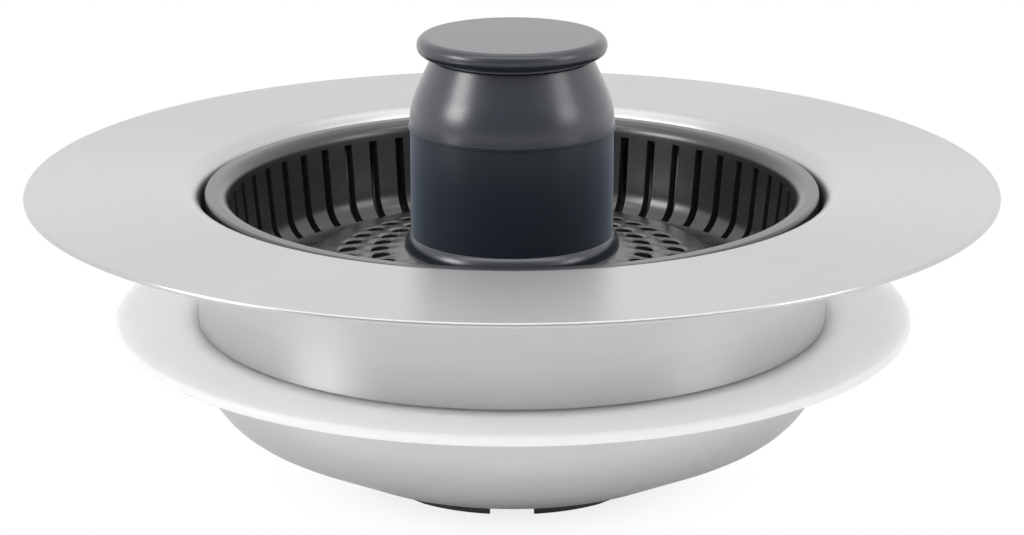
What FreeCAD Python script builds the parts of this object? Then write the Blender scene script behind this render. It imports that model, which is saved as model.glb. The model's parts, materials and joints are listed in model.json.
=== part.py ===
import FreeCAD
import Part
import Sketcher
import math
import os

# A kitchen sink strainer: a drawn steel cup with a wide flange, a soft skirt that seals it in the drain,
# a slotted basket with a round handle, and a press latch in the middle that carries the basket and works
# the stopper.
# Millimetres. The origin is on the axis in the plane of the flange's underside, +Z is up.

DRIVING_SIZES = {
    # Steel flange and cup
    "flange_radius": 56.0,
    "steel_thickness": 0.6,
    "flange_roll": 2.4,
    "cup_radius": 36.0,
    "cup_straight": 19.4,
    "bowl_corner": 8.7,
    "bowl_slope": 26.4,
    "outlet_radius": 17.0,
    "floor_ledge": 5.0,
    # Soft skirt round the cup
    "skirt_width": 9.8,
    "skirt_thickness": 1.2,
    "skirt_depth": 14.6,
    "skirt_dish": 0.5,
    "skirt_edge_round": 0.3,
    "skirt_collar_width": 1.4,
    "skirt_collar_height": 2.4,
    # Outlet seat, clipped into the bowl
    "gasket_thickness": 0.8,
    "gasket_inset": 0.4,
    "seat_flange_width": 3.5,
    "seat_flange_thickness": 1.2,
    "seat_chamfer": 0.8,
    "neck_clearance": 0.1,
    "neck_wall": 1.9,
    "hook_reach": 2.4,
    "hook_height": 2.6,
    "hook_lead": 1.4,
    "hook_count": 8,
    "hook_gap": 5.0,
    "hub_radius": 4.8,
    "hub_height": 2.2,
    "hub_drop": 0.4,
    "spoke_count": 4,
    "spoke_width": 2.4,
    # Fixed stem and its screw
    "stem_radius": 4.0,
    "stem_foot_radius": 6.0,
    "stem_foot_height": 1.2,
    "rotor_shaft_radius": 2.8,
    "clip_shaft_radius": 2.2,
    "clip_groove_depth": 0.5,
    "clip_thickness": 0.6,
    "clip_width": 1.5,
    "clip_mouth": 2.6,
    "stem_tail": 0.8,
    "stem_screw_radius": 1.5,
    "stem_screw_length": 11.0,
    "stem_screw_head_radius": 3.2,
    "stem_screw_head_height": 1.4,
    "washer_radius": 4.0,
    "washer_thickness": 0.5,
    "screw_clearance": 0.15,
    "drive_slot_width": 0.8,
    "drive_slot_depth": 0.7,
    # Press latch and spring
    "press_travel": 7.0,
    "running_clearance": 0.05,
    "end_clearance": 0.4,
    "rotor_margin": 0.2,
    "rotor_height": 4.4,
    "pin_count": 4,
    "pin_radius": 0.8,
    "pin_reach": 1.1,
    "track_clearance": 0.15,
    "cam_clearance": 0.3,
    "cam_wall": 1.6,
    "cam_top_wall": 1.0,
    "spring_seat_thickness": 0.8,
    "spring_seat_margin": 0.35,
    "spring_clearance": 0.55,
    "spring_wire": 0.7,
    "spring_turns": 6,
    "spring_end_gap": 0.05,
    # Plunger and stopper
    "plunger_wall": 1.2,
    "plunger_guide": 6.0,
    "plunger_top": 5.0,
    "plunger_cap_thickness": 1.5,
    "plunger_cap_spigot": 1.2,
    "spring_centring": 0.3,
    "stopper_overlap": 2.8,
    "stopper_thickness": 1.6,
    "seal_wall": 1.2,
    "seal_lip": 2.2,
    "seal_top_lip": 1.4,
    "seal_thickness": 1.2,
    "seal_top_thickness": 0.8,
    "seal_gap": 0.05,
    # Basket
    "basket_clearance": 0.5,
    "basket_drop": 0.2,
    "rim_width": 2.7,
    "basket_thickness": 1.3,
    "rim_height": 1.8,
    "rim_round": 1.5,
    "rim_edge_round": 0.4,
    "wall_draft": 5.8,
    "basket_corner_depth": 8.56,
    "basket_corner": 3.3,
    "floor_outer_slope": 32.8,
    "floor_crease_inset": 9.5,
    "floor_inner_slope": 7.6,
    "slot_count": 56,
    "slot_width": 1.05,
    "slot_land": 0.1,
    "slot_reach": 2.3,
    "hole_radius": 1.05,
    "inner_hole_inset": 2.94,
    "inner_hole_count": 36,
    "hole_ring_step": 3.86,
    "outer_hole_count": 40,
    "collar_land": 0.04,
    "collar_spread": 0.7,
    "collar_height": 1.7,
    "collar_flare": 2.0,
    "chimney_clearance": 0.3,
    "chimney_wall": 1.5,
    "chimney_web": 1.5,
    "chimney_rim": 1.7,
    "boss_radius": 3.4,
    "boss_height": 4.5,
    "boss_pilot_floor": 1.2,
    # Handle
    "sleeve_fit": 0.1,
    "sleeve_wall": 1.76,
    "seam_rise": 0.5,
    "seam_lip": 0.19,
    "seam_lip_height": 0.35,
    "dome_overhang": 0.09,
    "dome_round": 10.5,
    "dome_slope": 25.0,
    "neck_height": 3.36,
    "neck_wall_thickness": 1.5,
    "knob_floor": 1.4,
    "knob_fit": 0.05,
    "knob_radius": 10.95,
    "knob_stand": 0.55,
    "knob_edge_round": 1.05,
    "knob_under_round": 1.0,
    "knob_step": 0.2,
    "knob_cap_thickness": 1.6,
    "knob_spigot_gap": 0.5,
    "knob_spigot_wall": 1.0,
    "knob_screw_radius": 1.15,
    "knob_screw_length": 5.6,
    "knob_screw_head_radius": 2.8,
    "knob_screw_head_height": 1.6,
}

doc = FreeCAD.newDocument("sink_strainer")


class Size:
    """A size with its number now and the sheet expression that gives it, so that sums of sizes stay bound."""

    def __init__(self, value, text):
        self.value = value
        self.text = text

    def __add__(self, other):
        other = size(other)
        return Size(self.value + other.value, f"({self.text} + {other.text})")

    def __sub__(self, other):
        other = size(other)
        return Size(self.value - other.value, f"({self.text} - {other.text})")

    def __mul__(self, other):
        other = size(other)
        return Size(self.value * other.value, f"({self.text} * {other.text})")

    def __truediv__(self, other):
        other = size(other)
        return Size(self.value / other.value, f"({self.text} / {other.text})")

    def __neg__(self):
        return Size(-self.value, f"(0 - {self.text})")


def size(item):
    """A plain number as a Size."""
    return item if isinstance(item, Size) else Size(float(item), f"({item})")


def sine(angle):
    return Size(math.sin(math.radians(angle.value)), f"sin({angle.text} * 1 deg)")


def cosine(angle):
    return Size(math.cos(math.radians(angle.value)), f"cos({angle.text} * 1 deg)")


def tangent(angle):
    return Size(math.tan(math.radians(angle.value)), f"tan({angle.text} * 1 deg)")


def root(number):
    return Size(math.sqrt(number.value), f"sqrt({number.text})")


PI = Size(math.pi, "pi")


def make_sheet():
    """The sheet of driving sizes, one alias per size, and a Size for each."""
    sheet = doc.addObject("Spreadsheet::Sheet", "Dims")
    for row, (name, number) in enumerate(DRIVING_SIZES.items(), start=1):
        sheet.set(f"A{row}", name)
        sheet.set(f"B{row}", str(number))
        sheet.setAlias(f"B{row}", name)
    doc.recompute()
    return {name: Size(float(getattr(sheet, name)), f"Dims.{name}") for name in DRIVING_SIZES}


D = make_sheet()
ZERO = size(0)


def bind(feature, prop, amount):
    """Tie a property of a feature to a size."""
    feature.setExpression(prop, size(amount).text)


def new_body(label):
    body = doc.addObject("PartDesign::Body", label)
    body.Label = label
    return body


def datum(body, role):
    """One of the body's own origin planes or axes."""
    return next(item for item in body.Origin.OriginFeatures if item.Role == role)


def new_sketch(body, name, role, height=None):
    """A sketch on an origin plane of the body, lifted off it by height."""
    sketch = body.newObject("Sketcher::SketchObject", f"{body.Name}_{name}")
    sketch.AttachmentSupport = [(datum(body, role), "")]
    sketch.MapMode = "FlatFace"
    if height is not None:
        bind(sketch, "AttachmentOffset.Base.z", height)
    return sketch


def pin_point(sketch, geo, pos, tag, across, up):
    """Fix a point of a sketch by its two distances from the sketch's origin."""
    for kind, axis, amount in (("DistanceX", "x", across), ("DistanceY", "y", up)):
        rule = Sketcher.Constraint(kind, -1, 1, geo, pos, size(amount).value)
        rule.Name = f"{axis}_{tag}"
        sketch.addConstraint(rule)
        bind(sketch, f"Constraints.{rule.Name}", amount)


def set_radius(sketch, geo, tag, radius):
    rule = Sketcher.Constraint("Radius", geo, radius.value)
    rule.Name = f"radius_{tag}"
    sketch.addConstraint(rule)
    bind(sketch, f"Constraints.{rule.Name}", radius)


def arc_between(start, end, radius, left):
    """The arc under a half circle from start to end. Its centre is to the left or right of the way."""
    chord = end - start
    half = chord.Length / 2
    side = FreeCAD.Vector(-chord.y, chord.x, 0).normalize()
    rise = math.sqrt(max(radius * radius - half * half, 0.0))
    centre = (start + end) * 0.5 + side * (rise if left else -rise)
    first, last = (start, end) if left else (end, start)
    angles = [math.atan2(point.y - centre.y, point.x - centre.x) for point in (first, last)]
    return Part.ArcOfCircle(Part.Circle(centre, FreeCAD.Vector(0, 0, 1), radius), *angles)


def draw_outline(sketch, corners, tag="p"):
    """Closed outline through corners (across, up). A third item bends the side that follows: its arc's
    radius, and a fourth says whether the arc's centre is to the left of the way along the outline."""
    points = [FreeCAD.Vector(size(corner[0]).value, size(corner[1]).value, 0) for corner in corners]
    sides = []
    for index, corner in enumerate(corners):
        start, end = points[index], points[(index + 1) % len(points)]
        if len(corner) == 2:
            geo = sketch.addGeometry(Part.LineSegment(start, end))
            sides.append((geo, 1, 2))
        else:
            radius, left = corner[2], corner[3]
            geo = sketch.addGeometry(arc_between(start, end, radius.value, left))
            sides.append((geo, 1, 2) if left else (geo, 2, 1))
    for index, (geo, start, end) in enumerate(sides):
        follower = sides[(index + 1) % len(sides)]
        sketch.addConstraint(Sketcher.Constraint("Coincident", geo, end, follower[0], follower[1]))
    for index, (geo, start, end) in enumerate(sides):
        pin_point(sketch, geo, start, f"{tag}{index}", corners[index][0], corners[index][1])
        if len(corners[index]) > 2:
            set_radius(sketch, geo, f"{tag}{index}", corners[index][2])


def draw_circle(sketch, across, up, radius, tag="c"):
    centre = FreeCAD.Vector(size(across).value, size(up).value, 0)
    geo = sketch.addGeometry(Part.Circle(centre, FreeCAD.Vector(0, 0, 1), radius.value))
    pin_point(sketch, geo, 3, tag, across, up)
    set_radius(sketch, geo, tag, radius)


def turn(body, corners, name="profile"):
    """Revolve an outline of (radius, height) corners about the body's Z axis."""
    sketch = new_sketch(body, name, "XZ_Plane")
    draw_outline(sketch, corners)
    feature = body.newObject("PartDesign::Revolution", f"{body.Name}_{name}_turn")
    feature.Profile = sketch
    feature.ReferenceAxis = (sketch, ["V_Axis"])
    feature.Angle = 360.0
    doc.recompute()
    return feature


def turned(label, corners):
    body = new_body(label)
    turn(body, corners)
    return body


def extrude(body, kind, sketch, length, both_ways=False, backwards=False):
    """A Pad or a Pocket of the sketch, to one side or half to each side of its plane."""
    feature = body.newObject(f"PartDesign::{kind}", f"{sketch.Name}_{kind.lower()}")
    feature.Profile = sketch
    feature.SideType = "Symmetric" if both_ways else "One side"
    feature.Reversed = backwards
    bind(feature, "Length", length)
    doc.recompute()
    return feature


def repeat_round(body, feature, count):
    """Repeat a feature evenly round the body's Z axis."""
    pattern = body.newObject("PartDesign::PolarPattern", f"{feature.Name}_round")
    pattern.Originals = [feature]
    pattern.Axis = (datum(body, "Z_Axis"), [""])
    pattern.Angle = 360.0
    bind(pattern, "Occurrences", count)
    body.Tip = pattern
    doc.recompute()
    return pattern


# Heights and radii that several pieces share, each worked out from the driving sizes

cup_outside = D["cup_radius"] + D["steel_thickness"]
corner_centre = cup_outside - D["bowl_corner"]
cone_top_radius = corner_centre + D["bowl_corner"] * sine(D["bowl_slope"])
cone_top = -(D["cup_straight"] + D["bowl_corner"] * cosine(D["bowl_slope"]))
bowl_floor_radius = D["outlet_radius"] + D["floor_ledge"]
bowl_under = cone_top - (cone_top_radius - bowl_floor_radius) * tangent(D["bowl_slope"])
bowl_floor = bowl_under + D["steel_thickness"]
flange_top = D["steel_thickness"]
roll_centre = flange_top - D["flange_roll"]
skirt_radius = cup_outside + D["skirt_width"]

gasket_top = bowl_floor + D["gasket_thickness"]
seat_top = gasket_top + D["seat_flange_thickness"]
seat_flange_radius = D["outlet_radius"] + D["seat_flange_width"]
neck_radius = D["outlet_radius"] - D["neck_clearance"]
neck_bore = neck_radius - D["neck_wall"]
hook_bottom = bowl_under - D["hook_height"]
hub_top = seat_top - D["hub_drop"]
hub_bottom = hub_top - D["hub_height"]
stem_hole = D["stem_screw_radius"] + D["screw_clearance"]

seal_bottom = seat_top + D["press_travel"] + D["seal_gap"]
stopper_under = seal_bottom + D["seal_thickness"]
stopper_top = stopper_under + D["stopper_thickness"]
stopper_radius = neck_bore + D["stopper_overlap"]
seal_outside = stopper_radius + D["seal_wall"]

latch_floor = stopper_under + D["plunger_guide"]
stem_shoulder = latch_floor + D["end_clearance"]
rotor_bottom = stem_shoulder + D["running_clearance"]
rotor_top = rotor_bottom + D["rotor_height"]
pin_height = rotor_bottom + D["rotor_height"] / 2
seat_shoulder = rotor_top + D["running_clearance"]
spring_foot = seat_shoulder + D["spring_seat_thickness"]
stem_top = spring_foot + D["clip_thickness"] + D["stem_tail"]

clip_groove = D["clip_shaft_radius"] - D["clip_groove_depth"]
clip_outside = clip_groove + D["clip_width"]
spring_radius = clip_outside + D["spring_clearance"] + D["spring_wire"] / 2
spring_seat_radius = spring_radius + D["spring_wire"] / 2 + D["spring_seat_margin"]
rotor_radius = spring_seat_radius + D["rotor_margin"]
cam_bore = rotor_radius + D["cam_clearance"]
cam_outside = cam_bore + D["cam_wall"]
pin_end = rotor_radius + D["pin_reach"]
track_half_width = D["pin_radius"] + D["track_clearance"]
track_floor = pin_end + D["track_clearance"]
track_steepness = D["press_travel"] * D["pin_count"] / (PI * cam_bore)
track_half_height = track_half_width * root(track_steepness * track_steepness + 1)
cam_top = pin_height + D["press_travel"] + track_half_height + D["cam_top_wall"]
plunger_radius = cam_outside + D["plunger_wall"]
guide_bore = D["stem_radius"] + D["running_clearance"]
plunger_cap_under = D["plunger_top"] - D["plunger_cap_thickness"]

chimney_bore = plunger_radius + D["chimney_clearance"]
chimney_radius = chimney_bore + D["chimney_wall"]
chimney_web_top = D["plunger_top"] + D["chimney_web"]
chimney_top = chimney_web_top + D["chimney_rim"]
boss_top = chimney_web_top + D["boss_height"]

sleeve_bore = chimney_radius + D["sleeve_fit"]
sleeve_radius = sleeve_bore + D["sleeve_wall"]
collar_radius = sleeve_radius + D["collar_land"]
collar_foot_radius = collar_radius + D["collar_spread"]
basket_radius = D["cup_radius"] - D["basket_clearance"]
wall_radius = basket_radius - D["rim_width"]
wall_top = -(D["basket_drop"] + D["rim_round"])
corner_height = -D["basket_corner_depth"]
draft_lean = sine(D["wall_draft"])
draft_rise = cosine(D["wall_draft"])
wall_foot_radius = wall_radius - (wall_top - corner_height) * tangent(D["wall_draft"])
corner_radius = wall_foot_radius - D["basket_corner"] / draft_rise
outer_floor_lean = sine(D["floor_outer_slope"])
outer_floor_rise = cosine(D["floor_outer_slope"])
floor_radius = corner_radius - D["basket_corner"] * outer_floor_lean
floor_height = corner_height - D["basket_corner"] * outer_floor_rise
crease_radius = wall_radius - D["floor_crease_inset"]
crease = floor_height + (floor_radius - crease_radius) * tangent(D["floor_outer_slope"])
collar_foot = crease + (crease_radius - collar_foot_radius) * tangent(D["floor_inner_slope"])
collar_top = collar_foot + D["collar_height"]

seam = chimney_web_top + D["seam_rise"]
dome_radius = sleeve_radius + D["dome_overhang"]
dome_turn_radius = dome_radius - D["dome_round"] + D["dome_round"] * cosine(D["dome_slope"])
dome_turn_height = seam + D["dome_round"] * sine(D["dome_slope"])
knob_neck_top = dome_turn_height + D["neck_height"]
knob_neck_radius = dome_turn_radius - D["neck_height"] * tangent(D["dome_slope"])
knob_neck_bore = knob_neck_radius - D["neck_wall_thickness"]
knob_floor_top = boss_top + D["knob_floor"]


def make_flange_cup():
    """Drawn sheet of one thickness: flange, roll, straight wall, round corner, sloped bowl and flat floor."""
    inner_corner = D["bowl_corner"] - D["steel_thickness"]
    inner_cone_radius = corner_centre + inner_corner * sine(D["bowl_slope"])
    inner_cone_top = -(D["cup_straight"] + inner_corner * cosine(D["bowl_slope"]))
    inner_floor_radius = bowl_floor_radius - D["steel_thickness"] * tangent(D["bowl_slope"] / 2)
    roll_start = D["cup_radius"] + D["flange_roll"]
    return turned("flange_cup", [
        (D["flange_radius"], ZERO),
        (D["flange_radius"], flange_top),
        (roll_start, flange_top, D["flange_roll"], True),
        (D["cup_radius"], roll_centre),
        (D["cup_radius"], -D["cup_straight"], inner_corner, False),
        (inner_cone_radius, inner_cone_top),
        (inner_floor_radius, bowl_floor),
        (D["outlet_radius"], bowl_floor),
        (D["outlet_radius"], bowl_under),
        (bowl_floor_radius, bowl_under),
        (cone_top_radius, cone_top, D["bowl_corner"], True),
        (cup_outside, -D["cup_straight"]),
        (cup_outside, roll_centre, D["flange_roll"] - D["steel_thickness"], False),
        (roll_start, ZERO),
    ])


def make_silicone_skirt():
    """Soft disc, slightly dished towards the cup, with a gripping collar below it."""
    rim_top = -D["skirt_depth"]
    rim_under = rim_top - D["skirt_thickness"]
    edge = D["skirt_edge_round"]
    collar = cup_outside + D["skirt_collar_width"]
    collar_under = rim_under - D["skirt_dish"]
    return turned("silicone_skirt", [
        (cup_outside, rim_top - D["skirt_dish"]),
        (cup_outside, collar_under - D["skirt_collar_height"]),
        (collar, collar_under - D["skirt_collar_height"]),
        (collar, collar_under),
        (skirt_radius - edge, rim_under, edge, True),
        (skirt_radius, rim_under + edge),
        (skirt_radius, rim_top - edge, edge, True),
        (skirt_radius - edge, rim_top),
    ])


def make_outlet_seat():
    """Moulded ring clipped into the outlet: a flange above the bowl, hooks below it, and a hub on spokes."""
    body = new_body("outlet_seat")
    turn(body, [
        (neck_bore, hub_bottom),
        (neck_bore, seat_top - D["seat_chamfer"]),
        (neck_bore + D["seat_chamfer"], seat_top),
        (seat_flange_radius, seat_top),
        (seat_flange_radius, gasket_top),
        (neck_radius, gasket_top),
        (neck_radius, bowl_under - D["neck_clearance"]),
        (neck_radius + D["hook_reach"], bowl_under - D["neck_clearance"]),
        (neck_radius + D["hook_reach"], hook_bottom + D["hook_lead"]),
        (neck_radius, hook_bottom),
        (neck_bore, hook_bottom),
    ])
    gap = new_sketch(body, "hook_gap", "XZ_Plane")
    draw_outline(gap, [
        (neck_bore - D["neck_wall"], hook_bottom - D["hook_height"]),
        (neck_radius + D["hook_reach"] * 2, hook_bottom - D["hook_height"]),
        (neck_radius + D["hook_reach"] * 2, bowl_under),
        (neck_bore - D["neck_wall"], bowl_under),
    ])
    repeat_round(body, extrude(body, "Pocket", gap, D["hook_gap"], both_ways=True), D["hook_count"])
    hub = new_sketch(body, "hub", "XY_Plane", hub_bottom)
    draw_circle(hub, ZERO, ZERO, D["hub_radius"])
    extrude(body, "Pad", hub, D["hub_height"])
    spoke = new_sketch(body, "spoke", "XY_Plane", hub_bottom)
    half_pitch = size(180) / D["spoke_count"]
    along, across = cosine(half_pitch), sine(half_pitch)
    reach = neck_bore + D["neck_wall"] / 2
    half = D["spoke_width"] / 2
    draw_outline(spoke, [
        (across * half, -(along * half)),
        (along * reach + across * half, across * reach - along * half),
        (along * reach - across * half, across * reach + along * half),
        (-(across * half), along * half),
    ])
    repeat_round(body, extrude(body, "Pad", spoke, D["hub_height"]), D["spoke_count"])
    hole = new_sketch(body, "screw_hole", "XY_Plane", hub_bottom)
    draw_circle(hole, ZERO, ZERO, stem_hole)
    extrude(body, "Pocket", hole, D["hub_height"], backwards=True)
    return body


def make_seat_gasket():
    return turned("seat_gasket", [
        (D["outlet_radius"], bowl_floor),
        (seat_flange_radius - D["gasket_inset"], bowl_floor),
        (seat_flange_radius - D["gasket_inset"], gasket_top),
        (D["outlet_radius"], gasket_top),
    ])


def make_core_post():
    """Turned stem: foot on the hub, guide shaft, rotor shaft, and a thin end with the clip's groove."""
    bore_end = hub_bottom + D["stem_screw_length"] + D["end_clearance"]
    return turned("core_post", [
        (D["stem_screw_radius"], hub_top),
        (D["stem_foot_radius"], hub_top),
        (D["stem_foot_radius"], hub_top + D["stem_foot_height"]),
        (D["stem_radius"], hub_top + D["stem_foot_height"]),
        (D["stem_radius"], stem_shoulder),
        (D["rotor_shaft_radius"], stem_shoulder),
        (D["rotor_shaft_radius"], seat_shoulder),
        (D["clip_shaft_radius"], seat_shoulder),
        (D["clip_shaft_radius"], spring_foot),
        (clip_groove, spring_foot),
        (clip_groove, spring_foot + D["clip_thickness"]),
        (D["clip_shaft_radius"], spring_foot + D["clip_thickness"]),
        (D["clip_shaft_radius"], stem_top),
        (ZERO, stem_top),
        (ZERO, bore_end),
        (D["stem_screw_radius"], bore_end),
    ])


def cut_drive_slot(body, head_radius, face, up):
    """A driver's slot across a screw's head, cut from its face into the head."""
    slot = new_sketch(body, "drive_slot", "XY_Plane", face)
    half = D["drive_slot_width"] / 2
    draw_outline(slot, [
        (-head_radius * 2, -half),
        (head_radius * 2, -half),
        (head_radius * 2, half),
        (-head_radius * 2, half),
    ])
    extrude(body, "Pocket", slot, D["drive_slot_depth"], backwards=not up)


def make_post_washer():
    return turned("post_washer", [
        (stem_hole, hub_bottom - D["washer_thickness"]),
        (D["washer_radius"], hub_bottom - D["washer_thickness"]),
        (D["washer_radius"], hub_bottom),
        (stem_hole, hub_bottom),
    ])


def make_post_screw():
    """Screw from below, through the washer and the hub into the stem."""
    head_top = hub_bottom - D["washer_thickness"]
    head_face = head_top - D["stem_screw_head_height"]
    body = turned("post_screw", [
        (ZERO, head_face),
        (D["stem_screw_head_radius"], head_face),
        (D["stem_screw_head_radius"], head_top),
        (D["stem_screw_radius"], head_top),
        (D["stem_screw_radius"], hub_bottom + D["stem_screw_length"]),
        (ZERO, hub_bottom + D["stem_screw_length"]),
    ])
    cut_drive_slot(body, D["stem_screw_head_radius"], head_face, up=False)
    return body


def make_plunger_tube():
    """Press tube: stopper plate at its foot, close guide on the stem, wide bore for the latch above."""
    return turned("plunger_tube", [
        (guide_bore, stopper_under),
        (stopper_radius, stopper_under),
        (stopper_radius, stopper_top),
        (plunger_radius, stopper_top),
        (plunger_radius, D["plunger_top"]),
        (cam_outside, D["plunger_top"]),
        (cam_outside, latch_floor),
        (guide_bore, latch_floor),
    ])


def make_stopper_seal():
    """Soft ring of U section that grips the edge of the stopper plate."""
    return turned("stopper_seal", [
        (stopper_radius - D["seal_lip"], seal_bottom),
        (seal_outside, seal_bottom),
        (seal_outside, stopper_top + D["seal_top_thickness"]),
        (stopper_radius - D["seal_top_lip"], stopper_top + D["seal_top_thickness"]),
        (stopper_radius - D["seal_top_lip"], stopper_top),
        (stopper_radius, stopper_top),
        (stopper_radius, stopper_under),
        (stopper_radius - D["seal_lip"], stopper_under),
    ])


def make_cam_sleeve():
    """Sleeve with a zigzag track inside: helical legs, half a pin's pitch wide, that rise and fall."""
    body = turned("cam_sleeve", [
        (cam_bore, latch_floor),
        (cam_outside, latch_floor),
        (cam_outside, cam_top),
        (cam_bore, cam_top),
    ])
    turns_per_leg = size(0.5) / D["pin_count"]
    for name, left_handed in (("rise", False), ("fall", True)):
        section = new_sketch(body, name, "XZ_Plane")
        inside = rotor_radius - D["cam_clearance"]
        draw_outline(section, [
            (inside, pin_height - track_half_height),
            (track_floor, pin_height - track_half_height),
            (track_floor, pin_height + track_half_height),
            (inside, pin_height + track_half_height),
        ])
        leg = body.newObject("PartDesign::SubtractiveHelix", f"{body.Name}_{name}_leg")
        leg.Profile = section
        leg.ReferenceAxis = (section, ["V_Axis"])
        leg.Mode = "height-turns-angle"
        bind(leg, "Height", D["press_travel"])
        bind(leg, "Turns", turns_per_leg)
        leg.LeftHanded = left_handed
        leg.Reversed = False
        doc.recompute()
        repeat_round(body, leg, D["pin_count"])
    return body


def make_latch_rotor():
    """Ring on the stem with round pins that ride in the track."""
    body = new_body("latch_rotor")
    turn(body, [
        (ZERO, rotor_bottom),
        (rotor_radius, rotor_bottom),
        (rotor_radius, rotor_top),
        (ZERO, rotor_top),
    ])
    pin = new_sketch(body, "pin", "YZ_Plane")
    draw_circle(pin, ZERO, pin_height, D["pin_radius"])
    repeat_round(body, extrude(body, "Pad", pin, pin_end), D["pin_count"])
    bore = new_sketch(body, "bore", "XY_Plane", rotor_bottom)
    draw_circle(bore, ZERO, ZERO, D["rotor_shaft_radius"] + D["running_clearance"])
    extrude(body, "Pocket", bore, D["rotor_height"], backwards=True)
    return body


def make_spring_seat():
    return turned("spring_seat", [
        (D["clip_shaft_radius"], seat_shoulder),
        (spring_seat_radius, seat_shoulder),
        (spring_seat_radius, spring_foot),
        (D["clip_shaft_radius"], spring_foot),
    ])


def make_retaining_clip():
    """Open ring in the stem's groove."""
    body = turned("retaining_clip", [
        (clip_groove, spring_foot),
        (clip_outside, spring_foot),
        (clip_outside, spring_foot + D["clip_thickness"]),
        (clip_groove, spring_foot + D["clip_thickness"]),
    ])
    mouth = new_sketch(body, "mouth", "XY_Plane", spring_foot)
    half = D["clip_mouth"] / 2
    reach = clip_outside * 2
    draw_outline(mouth, [(ZERO, -half), (reach, -half), (reach, half), (ZERO, half)])
    extrude(body, "Pocket", mouth, D["clip_thickness"], backwards=True)
    return body


def biarc(start, start_way, end, end_way):
    """Two arcs that leave start and reach end along the given unit directions, and meet smoothly."""
    chord = end - start
    ways = start_way + end_way
    bend = 2 * (start_way.dot(end_way) - 1)
    pull = -2 * chord.dot(ways)
    span = chord.dot(chord)
    reach = (-pull - math.sqrt(pull * pull - 4 * bend * span)) / (2 * bend)
    if reach < 0:
        reach = (-pull + math.sqrt(pull * pull - 4 * bend * span)) / (2 * bend)
    middle = (start + end + (start_way - end_way) * reach) * 0.5
    arcs = []
    spans = ((start, middle, start + start_way * reach), (middle, end, end - end_way * reach))
    for first, last, corner in spans:
        half_chord = (last - first).Length / 2
        to_corner = corner - (first + last) * 0.5
        tall = to_corner.Length
        sagitta = half_chord * math.tan(math.atan2(tall, half_chord) / 2)
        crown = (first + last) * 0.5 + to_corner.normalize() * sagitta
        arcs.append(Part.Arc(first, crown, last).toShape())
    return arcs


def make_return_spring():
    """Round wire wound at a steady pitch, from the spring seat to the plunger's cap."""
    radius, wire = spring_radius.value, D["spring_wire"].value
    turns = D["spring_turns"].value
    inset = wire / 2 + D["spring_end_gap"].value
    low = spring_foot.value + inset
    high = plunger_cap_under.value - inset
    rise = (high - low) / (2 * math.pi * turns)

    def place(angle):
        return FreeCAD.Vector(radius * math.cos(angle), radius * math.sin(angle), low + rise * angle)

    def way(angle):
        return FreeCAD.Vector(-radius * math.sin(angle), radius * math.cos(angle), rise).normalize()

    quarters = max(round(4 * turns), 1)
    step = 2 * math.pi * turns / quarters
    edges = []
    for index in range(quarters):
        first, last = index * step, (index + 1) * step
        edges += biarc(place(first), way(first), place(last), way(last))
    section = Part.Wire(Part.Circle(place(0), way(0), wire / 2).toShape())
    path = Part.Wire(edges)
    shell = Part.BRepOffsetAPI.MakePipeShell(path)
    shell.add(section)
    shell.build()
    shell.makeSolid()
    pitch = rise * 2 * math.pi
    print("spring: least gap between turns", round(pitch * math.cos(math.atan2(rise, radius)) - wire, 2))
    spring = doc.addObject("Part::Feature", "return_spring")
    spring.Label = "return_spring"
    spring.Shape = shell.shape()
    return spring


def make_plunger_cap():
    """Plug in the plunger's top, with a spigot that centres the spring."""
    spigot = spring_radius - D["spring_wire"] / 2 - D["spring_centring"]
    return turned("plunger_cap", [
        (ZERO, plunger_cap_under - D["plunger_cap_spigot"]),
        (spigot, plunger_cap_under - D["plunger_cap_spigot"]),
        (spigot, plunger_cap_under),
        (cam_outside, plunger_cap_under),
        (cam_outside, D["plunger_top"]),
        (ZERO, D["plunger_top"]),
    ])


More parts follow.
